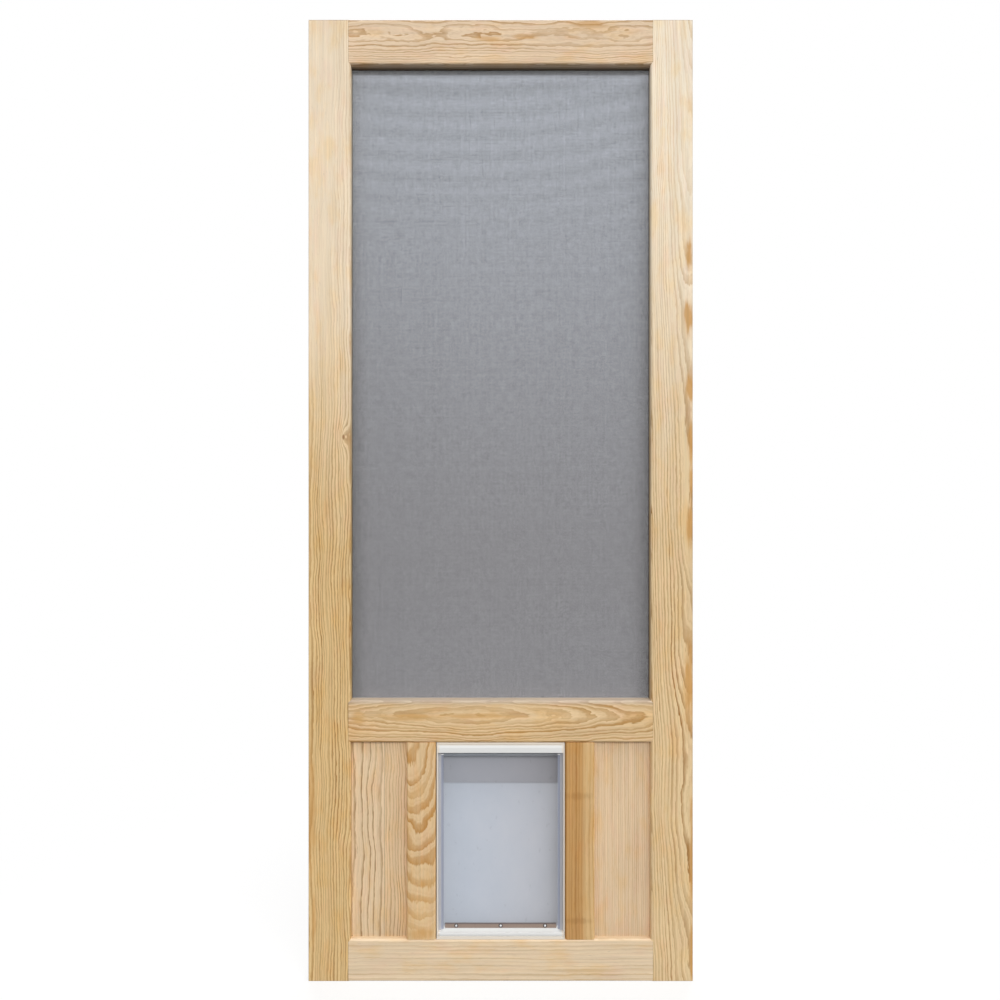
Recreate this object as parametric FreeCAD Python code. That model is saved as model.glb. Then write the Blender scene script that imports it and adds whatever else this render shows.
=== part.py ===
"""Wooden screen door with a pet flap: a stile-and-rail pine door, 32 in by 80 in.

Frame of the model, in millimetres: X runs across the door from the hinge edge to the latch edge,
Y runs through the door from its front face to its back face, and Z is up.
The origin is at the foot of the hinge edge, in the middle of the door's thickness.
"""

import FreeCAD, Part
from FreeCAD import Vector
import os

# Door slab
DOOR_WIDTH = 812.8
DOOR_HEIGHT = 2032.0
DOOR_THICKNESS = 28.575
STILE_WIDTH = 88.9
TOP_RAIL_WIDTH = 93.7
LOCK_RAIL_WIDTH = 88.9
BOTTOM_RAIL_WIDTH = 87.3
LOWER_OPENING_HEIGHT = 416.6
MULLION_WIDTH = 61.9
PET_OPENING_WIDTH = 274.0

# Edges worked on the timber
STICKING_RADIUS = 4.76
ARRIS_RADIUS = 1.5

# Mortise and tenon joints
TENON_LENGTH = 50.0
TENON_THICKNESS = 9.0
TENON_RECESS = 7.5
TENON_SHOULDER = 16.0
MULLION_TENON_LENGTH = 20.0
MULLION_TENON_SHOULDER = 14.0
MORTISE_END_GAP = 0.8

# Flat panels beside the pet opening
PANEL_THICKNESS = 6.35
PANEL_RECESS = 12.7
PANEL_GROOVE_DEPTH = 8.0
PANEL_EXPANSION_GAP = 0.8

# Insect screen, held by a spline in a rebate round the back of the upper opening
REBATE_DEPTH = 4.5
REBATE_WIDTH = 14.0
MESH_THICKNESS = 0.3
MESH_COLUMNS = 12
MESH_ROWS = 25
MESH_OPEN_SHARE = 0.3
SPLINE_WIDTH = 3.6
SPLINE_SETBACK = 6.2
SPLINE_GROOVE_DEPTH = 5.5
SPLINE_CROWN = 1.3
SPLINE_CROWN_RADIUS = 1.2

# Pet door frame, four plastic extrusions in the opening between the mullions
FRAME_SIDE_GAP = 1.5
FRAME_TOP_GAP = 0.5
FRAME_INSET = 1.0
JAMB_WALL = 2.6
JAMB_EDGE_RADIUS = 0.7
JAMB_RIB_WIDTH = 6.4
JAMB_RIB_THICKNESS = 7.0
HEAD_HEIGHT = 22.0
HEAD_LIP_HEIGHT = 3.2
SILL_HEIGHT = 14.0
SILL_LIP_HEIGHT = 5.6
LIP_GROOVE_WIDTH = 1.4
LIP_GROOVE_DEPTH = 2.0
BEVEL_SHARE = 0.35
BEVEL_SLOPE = 0.25
EXTRUSION_WALL = 2.0
EXTRUSION_RADIUS = 1.0

# Hinge rod of the flap
ROD_RADIUS = 2.0
ROD_SEAT_DEPTH = 1.4
ROD_SEAT_GAP = 0.02
HEM_RADIUS = 4.0
HEM_RUNNING_GAP = 0.06
HINGE_DROP = 6.5

# Vinyl flap
FLAP_THICKNESS = 3.0
FLAP_SIDE_CLEARANCE = 5.25
FLAP_FOOT_CLEARANCE = 5.1
FLAP_CORNER_RADIUS = 6.0
BAND_HEIGHT = 55.5
BAND_THICKNESS = 1.2
MAGNET_HEIGHT = 10.0
MAGNET_THICKNESS = 2.5
MAGNET_END_MARGIN = 3.0

CUBIC_MM_PER_CM = 1000.0
TOUCH_TOLERANCE = 1e-6

# Places worked out from the sizes above
FRONT = -DOOR_THICKNESS / 2
BACK = DOOR_THICKNESS / 2
CENTRE_X = DOOR_WIDTH / 2
OPENING_LEFT = STILE_WIDTH
OPENING_RIGHT = DOOR_WIDTH - STILE_WIDTH
LOWER_SILL_Z = BOTTOM_RAIL_WIDTH
LOWER_HEAD_Z = LOWER_SILL_Z + LOWER_OPENING_HEIGHT
SCREEN_SILL_Z = LOWER_HEAD_Z + LOCK_RAIL_WIDTH
SCREEN_HEAD_Z = DOOR_HEIGHT - TOP_RAIL_WIDTH
PET_LEFT = CENTRE_X - PET_OPENING_WIDTH / 2
PET_RIGHT = CENTRE_X + PET_OPENING_WIDTH / 2
REBATE_FLOOR_Y = BACK - REBATE_DEPTH

FRAME_LEFT = PET_LEFT + FRAME_SIDE_GAP
FRAME_RIGHT = PET_RIGHT - FRAME_SIDE_GAP
FRAME_FOOT_Z = LOWER_SILL_Z
FRAME_TOP_Z = LOWER_HEAD_Z - FRAME_TOP_GAP
FRAME_FRONT = FRONT + FRAME_INSET
FRAME_BACK = BACK - FRAME_INSET
HEAD_UNDERSIDE_Z = FRAME_TOP_Z - HEAD_HEIGHT
SILL_TOP_Z = FRAME_FOOT_Z + SILL_HEIGHT

HINGE_Z = HEAD_UNDERSIDE_Z - HINGE_DROP
FLAP_LEFT = FRAME_LEFT + JAMB_WALL + JAMB_RIB_WIDTH + FLAP_SIDE_CLEARANCE
FLAP_RIGHT = FRAME_RIGHT - JAMB_WALL - JAMB_RIB_WIDTH - FLAP_SIDE_CLEARANCE
FLAP_FOOT_Z = SILL_TOP_Z + FLAP_FOOT_CLEARANCE
FLAP_FACE_Z = HINGE_Z - HEM_RADIUS


def block(x, y, z):
    """A box between the low and high ends given for each axis."""
    size = [high - low for low, high in (x, y, z)]
    return Part.makeBox(*size, Vector(x[0], y[0], z[0]))


def round_bar(radius, x):
    """A cylinder on the flap's hinge axis, between the low and high ends given."""
    return Part.makeCylinder(radius, x[1] - x[0], Vector(x[0], 0, HINGE_Z), Vector(1, 0, 0))


def long_edges(shape, direction):
    """The straight edges of a board that run along its length."""
    tangents = [(e, e.tangentAt(e.FirstParameter)) for e in shape.Edges]
    return [e for e, tangent in tangents if tangent.cross(direction).Length < TOUCH_TOLERANCE]


def edge_near(shape, direction, point):
    """The long edge of a board that passes nearest to a point."""
    spot = Part.Vertex(Vector(*point))
    return min(long_edges(shape, direction), key=lambda e: e.distToShape(spot)[0])


def cut_all(shape, tools):
    """The shape with each of the tools taken out of it."""
    for tool in tools:
        shape = shape.cut(tool)
    return shape.removeSplitter()


def stile_blank(x, inner_x, outer_x):
    """A full-height stile: sticking along its inner edges, eased arrises along its outer edges."""
    board = block(x, (FRONT, BACK), (0, DOOR_HEIGHT))
    middle_z = DOOR_HEIGHT / 2
    inner = [edge_near(board, Vector(0, 0, 1), (inner_x, y, middle_z)) for y in (FRONT, BACK)]
    board = board.makeFillet(STICKING_RADIUS, inner)
    outer = [edge_near(board, Vector(0, 0, 1), (outer_x, y, middle_z)) for y in (FRONT, BACK)]
    return board.makeFillet(ARRIS_RADIUS, outer)


def rail_blank(z, worked_edges, eased_edges):
    """A rail between the stiles, long enough for its ends to be coped over the stiles' sticking."""
    reach = (OPENING_LEFT - STICKING_RADIUS, OPENING_RIGHT + STICKING_RADIUS)
    board = block(reach, (FRONT, BACK), z)
    for radius, levels in ((STICKING_RADIUS, worked_edges), (ARRIS_RADIUS, eased_edges)):
        for level in levels:
            places = [(CENTRE_X, y, level) for y in (FRONT, BACK)]
            edges = [edge_near(board, Vector(1, 0, 0), place) for place in places]
            board = board.makeFillet(radius, edges)
    return board


def rail_tenon(side, z, end_gap=0.0):
    """The tenon on one end of a rail, or with an end gap the mortise that takes it."""
    reach = TENON_LENGTH + end_gap
    x = (OPENING_LEFT - reach, OPENING_LEFT) if side == "left" else (OPENING_RIGHT, OPENING_RIGHT + reach)
    y = (FRONT + TENON_RECESS, FRONT + TENON_RECESS + TENON_THICKNESS)
    return block(x, y, (z[0] + TENON_SHOULDER, z[1] - TENON_SHOULDER))


def mullion_tenon(x, rail, end_gap=0.0):
    """The tenon on one end of a mullion, or with an end gap the mortise that takes it."""
    reach = MULLION_TENON_LENGTH + end_gap
    z = (LOWER_SILL_Z - reach, LOWER_SILL_Z) if rail == "bottom" else (LOWER_HEAD_Z, LOWER_HEAD_Z + reach)
    y = (FRONT + TENON_RECESS, FRONT + TENON_RECESS + TENON_THICKNESS)
    return block((x[0] + MULLION_TENON_SHOULDER, x[1] - MULLION_TENON_SHOULDER), y, z)


def panel_block(x, spread):
    """A panel's box, standing into its grooves by the spread on every edge."""
    y = (FRONT + PANEL_RECESS, FRONT + PANEL_RECESS + PANEL_THICKNESS)
    return block((x[0] - spread, x[1] + spread), y, (LOWER_SILL_Z - spread, LOWER_HEAD_Z + spread))


def screen_rectangle(spread, y):
    """A box over the upper opening, larger than the opening by the spread on every edge."""
    x = (OPENING_LEFT - spread, OPENING_RIGHT + spread)
    return block(x, y, (SCREEN_SILL_Z - spread, SCREEN_HEAD_Z + spread))


def timber():
    """The stiles, rails, mullions and panels, jointed and grooved."""
    left_blank = stile_blank((0, STILE_WIDTH), OPENING_LEFT, 0)
    right_blank = stile_blank((OPENING_RIGHT, DOOR_WIDTH), OPENING_RIGHT, DOOR_WIDTH)
    rails = {
        "top_rail": ((SCREEN_HEAD_Z, DOOR_HEIGHT), [SCREEN_HEAD_Z], [DOOR_HEIGHT]),
        "lock_rail": ((LOWER_HEAD_Z, SCREEN_SILL_Z), [LOWER_HEAD_Z, SCREEN_SILL_Z], []),
        "bottom_rail": ((0, LOWER_SILL_Z), [LOWER_SILL_Z], [0]),
    }
    mullions = {
        "left_mullion": (PET_LEFT - MULLION_WIDTH, PET_LEFT),
        "right_mullion": (PET_RIGHT, PET_RIGHT + MULLION_WIDTH),
    }
    panels = {
        "left_panel": (OPENING_LEFT, PET_LEFT - MULLION_WIDTH),
        "right_panel": (PET_RIGHT + MULLION_WIDTH, OPENING_RIGHT),
    }

    groove_y = (REBATE_FLOOR_Y - SPLINE_GROOVE_DEPTH, REBATE_FLOOR_Y)
    spline_groove = screen_rectangle(SPLINE_SETBACK + SPLINE_WIDTH, groove_y)
    spline_groove = spline_groove.cut(screen_rectangle(SPLINE_SETBACK, groove_y))
    rebate = screen_rectangle(REBATE_WIDTH, (REBATE_FLOOR_Y, BACK))
    grooves = [panel_block(x, PANEL_GROOVE_DEPTH) for x in panels.values()]
    worked = [rebate, spline_groove, *grooves]

    made = {}
    for name, blank, side in (("left_stile", left_blank, "left"), ("right_stile", right_blank, "right")):
        mortises = [rail_tenon(side, z, MORTISE_END_GAP) for z, _, _ in rails.values()]
        made[name] = cut_all(blank, mortises + worked)
    for name, (z, worked_edges, eased_edges) in rails.items():
        rail = cut_all(rail_blank(z, worked_edges, eased_edges), [left_blank, right_blank])
        for side in ("left", "right"):
            rail = rail.fuse(rail_tenon(side, z))
        mortises = []
        if name != "top_rail":
            end = name.removesuffix("_rail")
            mortises = [mullion_tenon(x, end, MORTISE_END_GAP) for x in mullions.values()]
        made[name] = cut_all(rail, mortises + worked)
    for name, x in mullions.items():
        board = block(x, (FRONT, BACK), (LOWER_SILL_Z, LOWER_HEAD_Z))
        board = board.makeFillet(STICKING_RADIUS, long_edges(board, Vector(0, 0, 1)))
        for rail in ("bottom", "lock"):
            board = board.fuse(mullion_tenon(x, rail))
        made[name] = cut_all(board, grooves)
    for name, x in panels.items():
        made[name] = panel_block(x, PANEL_GROOVE_DEPTH - PANEL_EXPANSION_GAP)
    return made


def spline_strip(x, z, direction):
    """One length of spline in its groove, with a rounded crown standing over the rebate."""
    strip = block(x, (REBATE_FLOOR_Y - SPLINE_GROOVE_DEPTH, REBATE_FLOOR_Y + SPLINE_CROWN), z)
    crown_y = REBATE_FLOOR_Y + SPLINE_CROWN
    crown = [e for e in long_edges(strip, direction) if abs(e.BoundBox.YMin - crown_y) < TOUCH_TOLERANCE]
    return strip.makeFillet(SPLINE_CROWN_RADIUS, crown)


def rectangle(x, z, y):
    """A closed upright outline at one depth, between the low and high ends given."""
    corners = [(x[0], z[0]), (x[1], z[0]), (x[1], z[1]), (x[0], z[1]), (x[0], z[0])]
    return Part.makePolygon([Vector(corner_x, y, corner_z) for corner_x, corner_z in corners])


def grid_cells(low, high, count):
    """The low and high ends of the openings in a row of equal cells."""
    pitch = (high - low) / count
    half = pitch * MESH_OPEN_SHARE / 2
    middles = [low + pitch * (i + 0.5) for i in range(count)]
    return [(middle - half, middle + half) for middle in middles]


def mesh_sheet():
    """The mesh as a plain grid: far coarser than its weave, with about the same share left open."""
    x = (OPENING_LEFT - SPLINE_SETBACK, OPENING_RIGHT + SPLINE_SETBACK)
    z = (SCREEN_SILL_Z - SPLINE_SETBACK, SCREEN_HEAD_Z + SPLINE_SETBACK)
    columns = grid_cells(OPENING_LEFT, OPENING_RIGHT, MESH_COLUMNS)
    rows = grid_cells(SCREEN_SILL_Z, SCREEN_HEAD_Z, MESH_ROWS)
    openings = [rectangle(column, row, REBATE_FLOOR_Y) for column in columns for row in rows]
    face = Part.makeFace([rectangle(x, z, REBATE_FLOOR_Y), *openings], "Part::FaceMakerBullseye")
    return face.extrude(Vector(0, MESH_THICKNESS, 0))


def insect_screen():
    """The mesh on the rebate's floor and the four lengths of spline round it."""
    left = (OPENING_LEFT - SPLINE_SETBACK - SPLINE_WIDTH, OPENING_LEFT - SPLINE_SETBACK)
    right = (OPENING_RIGHT + SPLINE_SETBACK, OPENING_RIGHT + SPLINE_SETBACK + SPLINE_WIDTH)
    foot = (SCREEN_SILL_Z - SPLINE_SETBACK - SPLINE_WIDTH, SCREEN_SILL_Z - SPLINE_SETBACK)
    head = (SCREEN_HEAD_Z + SPLINE_SETBACK, SCREEN_HEAD_Z + SPLINE_SETBACK + SPLINE_WIDTH)
    return {
        "insect_screen": mesh_sheet(),
        "left_spline": spline_strip(left, (foot[0], head[1]), Vector(0, 0, 1)),
        "right_spline": spline_strip(right, (foot[0], head[1]), Vector(0, 0, 1)),
        "bottom_spline": spline_strip((left[1], right[0]), foot, Vector(1, 0, 0)),
        "top_spline": spline_strip((left[1], right[0]), head, Vector(1, 0, 0)),
    }


def jamb(wall_x, rib_x, seat_x):
    """A side of the pet frame: a full-height wall, a rib beside the flap and a seat for the rod."""
    wall = block(wall_x, (FRAME_FRONT, FRAME_BACK), (FRAME_FOOT_Z, FRAME_TOP_Z))
    wall = wall.makeFillet(JAMB_EDGE_RADIUS, long_edges(wall, Vector(0, 0, 1)))
    rib_y = (-JAMB_RIB_THICKNESS / 2, JAMB_RIB_THICKNESS / 2)
    rib = block(rib_x, rib_y, (SILL_TOP_Z, HEAD_UNDERSIDE_Z))
    seat = round_bar(ROD_RADIUS + ROD_SEAT_GAP, seat_x)
    return wall.fuse(rib).removeSplitter().cut(seat)


def cross_member(lip_z, free_z, lip_height):
    """The head or sill of the pet frame: a hollow extrusion from its lip to its free edge.

    From the lip, each face has a groove, a bevel and a flat, and the free edge is rounded.
    """
    x = (FRAME_LEFT + JAMB_WALL, FRAME_RIGHT - JAMB_WALL)
    toward = 1 if free_z > lip_z else -1
    groove_z = lip_z + toward * lip_height
    bar_z = groove_z + toward * LIP_GROOVE_WIDTH
    bevel_height = BEVEL_SHARE * abs(free_z - bar_z)
    face = [
        (0, lip_z),
        (0, groove_z),
        (LIP_GROOVE_DEPTH, groove_z),
        (LIP_GROOVE_DEPTH, bar_z),
        (BEVEL_SLOPE * bevel_height, bar_z),
        (0, bar_z + toward * bevel_height),
        (0, free_z),
    ]
    front = [Vector(x[0], FRAME_FRONT + depth, z) for depth, z in face]
    back = [Vector(x[0], FRAME_BACK - depth, z) for depth, z in reversed(face)]
    profile = Part.Face(Part.makePolygon([*front, *back, front[0]]))
    bar = profile.extrude(Vector(x[1] - x[0], 0, 0))
    free_edges = [(CENTRE_X, y, free_z) for y in (FRAME_FRONT, FRAME_BACK)]
    bar = bar.makeFillet(EXTRUSION_RADIUS, [edge_near(bar, Vector(1, 0, 0), place) for place in free_edges])
    bore_inset = LIP_GROOVE_DEPTH + EXTRUSION_WALL
    bore_y = (FRAME_FRONT + bore_inset, FRAME_BACK - bore_inset)
    low, high = sorted((lip_z, free_z))
    return bar.cut(block(x, bore_y, (low + EXTRUSION_WALL, high - EXTRUSION_WALL)))


def pet_frame():
    """The four extrusions round the flap and the rod that the flap hangs on."""
    left_wall = (FRAME_LEFT, FRAME_LEFT + JAMB_WALL)
    left_rib = (left_wall[1], left_wall[1] + JAMB_RIB_WIDTH)
    right_wall = (FRAME_RIGHT - JAMB_WALL, FRAME_RIGHT)
    right_rib = (right_wall[0] - JAMB_RIB_WIDTH, right_wall[0])
    rod_x = (left_wall[1] - ROD_SEAT_DEPTH, right_wall[0] + ROD_SEAT_DEPTH)
    return {
        "pet_frame_left_jamb": jamb(left_wall, left_rib, (rod_x[0], left_rib[1])),
        "pet_frame_right_jamb": jamb(right_wall, right_rib, (right_rib[0], rod_x[1])),
        "pet_frame_head": cross_member(FRAME_TOP_Z, HEAD_UNDERSIDE_Z, HEAD_LIP_HEIGHT),
        "pet_frame_sill": cross_member(FRAME_FOOT_Z, SILL_TOP_Z, SILL_LIP_HEIGHT),
        "flap_hinge_rod": round_bar(ROD_RADIUS, rod_x),
    }


def flap():
    """The vinyl flap with the hem that turns on the rod, its doubled top band and its magnet strip."""
    half = FLAP_THICKNESS / 2
    sheet = block((FLAP_LEFT, FLAP_RIGHT), (-half, half), (FLAP_FOOT_Z, HINGE_Z))
    foot_corners = [e for e in long_edges(sheet, Vector(0, 1, 0)) if e.BoundBox.ZMax < HINGE_Z - half]
    sheet = sheet.makeFillet(FLAP_CORNER_RADIUS, foot_corners)
    sheet = sheet.fuse(round_bar(HEM_RADIUS, (FLAP_LEFT, FLAP_RIGHT))).removeSplitter()
    sheet = sheet.cut(round_bar(ROD_RADIUS + HEM_RUNNING_GAP, (FLAP_LEFT, FLAP_RIGHT)))

    band_z = (FLAP_FACE_Z - BAND_HEIGHT, FLAP_FACE_Z)
    plies = [
        block((FLAP_LEFT, FLAP_RIGHT), (-half - BAND_THICKNESS, -half), band_z),
        block((FLAP_LEFT, FLAP_RIGHT), (half, half + BAND_THICKNESS), band_z),
    ]
    strip_x = (FLAP_LEFT + MAGNET_END_MARGIN, FLAP_RIGHT - MAGNET_END_MARGIN)
    strip = block(strip_x, (-half - MAGNET_THICKNESS, -half), (FLAP_FOOT_Z, FLAP_FOOT_Z + MAGNET_HEIGHT))
    return {
        "flap_sheet": sheet,
        "flap_top_band": Part.makeCompound(plies),
        "flap_magnet_strip": strip,
    }


def main():
    os.makedirs("parts", exist_ok=True)
    nodes = {**timber(), **insect_screen(), **pet_frame(), **flap()}
    for name, shape in nodes.items():
        shape.exportStep(f"parts/{name}.step")
        volume = shape.Volume / CUBIC_MM_PER_CM
        print(f"{name}: {len(shape.Solids)} solid(s), {volume:.1f} cm3, valid {shape.isValid()}")


main()
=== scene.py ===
"""Looks of a wooden screen door with a pet flap, dressed around its CAD model.

Lengths are in metres, in the CAD model's frame: X runs across the door from its hinge edge,
Y runs through it from front to back, and Z is up. Rates of noise are for each metre, and one is
for each growth ring. Colours are in sRGB, from 0 to 255, and tints are factors.
"""

from dataclasses import dataclass
import math

import bpy
import numpy as np
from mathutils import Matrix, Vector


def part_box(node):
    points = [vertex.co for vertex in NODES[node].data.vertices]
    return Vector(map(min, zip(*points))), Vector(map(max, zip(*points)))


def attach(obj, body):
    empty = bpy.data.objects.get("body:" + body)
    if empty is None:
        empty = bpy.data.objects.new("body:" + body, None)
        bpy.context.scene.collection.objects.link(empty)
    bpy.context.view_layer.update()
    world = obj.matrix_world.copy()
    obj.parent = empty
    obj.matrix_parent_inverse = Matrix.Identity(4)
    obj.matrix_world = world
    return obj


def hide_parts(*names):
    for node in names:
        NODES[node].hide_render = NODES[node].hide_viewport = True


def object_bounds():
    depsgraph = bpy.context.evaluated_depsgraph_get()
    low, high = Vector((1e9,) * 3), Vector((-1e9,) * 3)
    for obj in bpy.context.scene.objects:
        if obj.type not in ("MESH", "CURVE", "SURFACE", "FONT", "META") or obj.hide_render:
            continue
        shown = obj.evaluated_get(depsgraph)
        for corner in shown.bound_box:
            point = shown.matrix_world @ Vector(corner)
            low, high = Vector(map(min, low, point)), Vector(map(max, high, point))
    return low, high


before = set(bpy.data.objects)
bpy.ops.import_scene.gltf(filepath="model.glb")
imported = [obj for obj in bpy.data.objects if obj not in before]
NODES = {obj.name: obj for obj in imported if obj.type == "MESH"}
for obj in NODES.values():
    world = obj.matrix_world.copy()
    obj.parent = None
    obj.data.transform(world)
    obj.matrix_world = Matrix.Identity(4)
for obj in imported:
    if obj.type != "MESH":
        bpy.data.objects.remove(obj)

CAD_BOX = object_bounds()

# Camera, placed and framed as in the photograph
IMAGE_SIZE = 1000
DOOR_TOP_PIXEL = 19.9
DOOR_FOOT_PIXEL = 981.0
DOOR_MIDDLE_PIXEL = (500.65, 500.45)
CAMERA_DISTANCE = 1.60
SENSOR_WIDTH = 36.0

# Studio light: each lamp has its azimuth, elevation and strength, with angles in degrees
FILL_LEVEL = 0.41
LAMP_SOFTNESS = 22
LAMPS = (
    (65, 24, 0.75),
    (40, 24, 0.6),
    (15, 24, 0.45),
    (-15, 24, 0.4),
    (-45, 24, 0.4),
    (10, 67, 0.65),
    (155, 35, 0.8),
    (-160, 35, 0.7),
)
PLAIN_WHITE = (1, 1, 1, 1)

# Floor
FLOOR_SPAN = 30.0
FLOOR_BACK = 1.8
FLOOR_DROP = 0.0005
FLOOR_SHADOW_SHARE = 0.25
FLOOR_FADE = (0.5, 1.5)
FLOOR_PALE = 0.95
FLOOR_DULL = 0.12

# Noise in general: how many finer layers it has, and the factor that makes it run from -1 to 1
NOISE_MIDDLE = 0.5
COARSE_DETAIL = 1.0
SOFT_DETAIL = 2.0
FINE_DETAIL = 3.0
EVEN_ROUGHNESS = 0.5
FULL_SWING = 2

# Places of the mix node's sockets for colours
MIX_SHARE = 0
MIX_FIRST = 6
MIX_SECOND = 7
MIX_RESULT = 2

# Growth rings of the timber
SWAY_CROSS_RATE = 9.0
WOBBLE_CROSS_RATE = 34.0
WOBBLE_ROUGHNESS = 0.55
ACROSS_SEED = 3.1
THROUGH_SEED = 8.7
WOBBLE_SEED_STEP = 2.0
UNEVEN_RING_RATE = 0.37
UNEVEN_SEED_RATE = 50
UNEVEN_DEPTH = 2.0
LATE_FULL = 0.84
LATE_END = (0.9, 1.0)
RAGGED_RATES = (45.0, 420.0)
RAGGED_DEPTH = 0.35
PATCHY_RATES = (3.2, 42.0)
PATCHY_LEVELS = (-0.22, 0.16, 0.5, 1.0)
RING_STRENGTH = (0.62, 0.42)
THIN_RINGS = 3.0
THIN_START = 0.35
THIN_DEPTH = 0.16

# Tones, patches and knots of the timber
FIBRE_RATES = (40.0, 1500.0)
FIBRE_DEPTH = 0.22
STREAK_RATES = (5.0, 170.0)
STREAK_DEPTH = 0.32
CLOUD_RATES = (7.0, 22.0)
CLOUD_DEPTH = 0.12
FLECK_RATES = (70.0, 1000.0)
FLECK_LEVELS = (0.19, 0.26, 0.0, 0.16)
WAVER_RATES = (3.0, 30.0)
WAVER_SEED = 5.5
WAVER_REACH = 0.5
CLEAR_SHARE = 0.85
WARM_TINT = (1.0, 0.93, 0.8, 1.0)
ROSE_TINT = (1.0, 0.95, 0.96, 1.0)
TINT_SEEDS = ((WARM_TINT, 4.4), (ROSE_TINT, 7.9))
TINT_RATES = (16.0, 38.0)
TINT_LEVELS = (-0.05, 0.25)
PATCH_RATES = (25.0, 160.0)
PATCH_SEED = 1.7
PATCH_RAGGED = 2.6
PATCH_LEVELS = (0.05, 0.9)
KNOT_STRETCH = 2.2
KNOT_SPREAD = 1.7
KNOT_PULL = 2.4
KNOT_COLOUR = (150, 103, 62)
KNOT_LEVELS = (0.80, 0.97)
KNOT_SHARE = 0.8
PINE_ROUGHNESS = (0.2, 0.68)
PINE_SPECULAR = 0.2
RING_RELIEF = 0.4
PINE_BUMP = (0.25, 0.0003)

# Lines and edges of the timber, with painted shade deep in the reveals: an edge's shade has its depth
# and its reach
STICKING = 0.00476
JOINT_LINE = 0.0006
JOINT_CORE = 0.3
RAIL_JOINT_LIGHT = 0.4
STAVE_JOINT_LIGHT = 0.55
REVEAL_BAND = 0.0008
REVEAL_DEPTH = 0.009
PAINTED_REVEAL_SHADE = 0.84
# Darker at the door's outer edges
OUTER_EDGE_BAND = 0.0024
OUTER_EDGE_LIGHT = 0.72
# Painted light at panel edges and tops, and painted shade at panel feet
PAINTED_EDGE_LIGHT = (-0.25, 0.006)
PAINTED_FOOT_SHADE = (0.23, 0.02)
# A greyer edge along the lock rail's ledge
LEDGE_GREY = (184, 182, 180)
LEDGE_GREY_REACH = 0.012
LEDGE_GREY_SHARE = 0.5

# Strands of the insect screen
WIRE_PITCH = 0.0016
WIRE_WIDTH = 0.00112
WIRE_THICKNESS = 0.00042
WIRE_SIDES = 6
WEAVE_OFFSET = 0.00012

# Tones of the insect screen, with painted light and shade, and levels as shares of its height
SCREEN_SHADED_LOW_COLOUR = (124, 123, 127)
SCREEN_LIT_HIGH_COLOUR = (160, 165, 174)
SCREEN_PAINTED_LIGHT_LEVELS = (0.16, 1.06)
SCREEN_CLOUD_RATES = (2.0, 0.0, 5.0)
SCREEN_CLOUD_DEPTH = 0.12
STRAND_VARIATION = 0.08
THREAD_RATES = ((50.0, 0.0, 240.0), (200.0, 0.0, 40.0))
THREAD_DEPTH = 0.55
# Painted light and shade of slack waves near the top
WAVE_LENGTH = 0.047
WAVE_MIDDLE = 0.316
WAVE_RISE = 0.33
WAVE_DEPTH = 0.065
WAVE_LEVELS = (0.68, 0.86)
# Painted shade at the sides, a painted shadow and glow under the top rail, and painted shade to the left
PAINTED_BORDER_REACH = 0.045
PAINTED_BORDER_SHADE = 0.44
PAINTED_BORDER_FADE = 0.8
PAINTED_TOP_TONES = ((0.037, 0.0115, 1.37), (0.0113, 0.0085, 0.60), (0.0085, 0.0, 0.48))
PAINTED_LEFT_SHADE = (0.30, 0.92)
SCREEN_ROUGHNESS = 0.6
SCREEN_SPECULAR = 0.25

# Plastic of the pet frame and its seals
SOFT_RATES = (18.0, 18.0, 18.0)
SOFT_SHEEN = 0.16
SOFT_TONE = 0.05
SKIN_RATES = (1800.0, 1800.0, 1800.0)
SKIN_DEPTH = 0.0002
WHITE = (229, 229, 227)
WHITE_ROUGHNESS = 0.42
WHITE_SKIN = 0.08
# The lip's cream is a painted warm reflection of the wood beside it
LIP_REFLECTED_WARMTH = (231, 221, 207)
LIP_EDGE = (0.004, 0.008)
EXTRUSION_STREAK_RATES = (6.0, 90.0, 90.0)
EXTRUSION_STREAK = 0.06
# A grey strip along each jamb's rib
RIB_GREY = (182, 182, 187)
RIB_EDGE = 0.0004
RIB_GREY_RATES = (900.0, 900.0, 60.0)
RIB_GREY_TONE = 0.25
SEAL_BLUE = (161, 166, 183)
SEAL_ROUGHNESS = 0.5
SEAL_SKIN = 0.1
SEAL_GAP = 0.00025
SEAL_ROOT = 0.0016
SEAL_TIP = 0.0006
SEAL_END_GAP = 0.001

# Vinyl of the flap: painted shades have a depth and a reach for each edge
SHEET_COOL = (210, 217, 228)
SHEET_GREY = (211, 213, 220)
SHEET_ROUGHNESS = 0.35
SHEET_PAINTED_SHADES = {
    "left": (0.16, 0.035),
    "right": (0.34, 0.035),
    "band": (0.10, 0.045),
    "strip": (0.14, 0.022),
}
BAND_COOL = (187, 190, 199)
BAND_GREY = (187, 186, 192)
BAND_ROUGHNESS = 0.4
BAND_PAINTED_SHADES = {"left": (0.16, 0.035), "right": (0.42, 0.042), "head": (0.10, 0.030)}
# Painted shadow of the pet frame's head across the top of the flap
HEAD_SHADOW_DROPS = (0.017, 0.010)
HEAD_SHADOW_LIGHT = 0.67
VINYL_CLOUD_RATES = (16.0, 16.0, 11.0)
VINYL_CLOUD_ROUGHNESS = 0.6
VINYL_CLOUD_DEPTH = 0.16
VINYL_SIDE_DRIFT = 0.15
SCUFF_RATES = (95.0, 95.0, 60.0)
SCUFF_LEVELS = (0.14, 0.24, 0.0, 0.09)
RIPPLE_RATES = (9.0, 9.0, 6.0)
RIPPLE_BUMP = (0.25, 0.004)
VINYL_TRANSMISSION = 0.25
VINYL_IOR = 1.3

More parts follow.
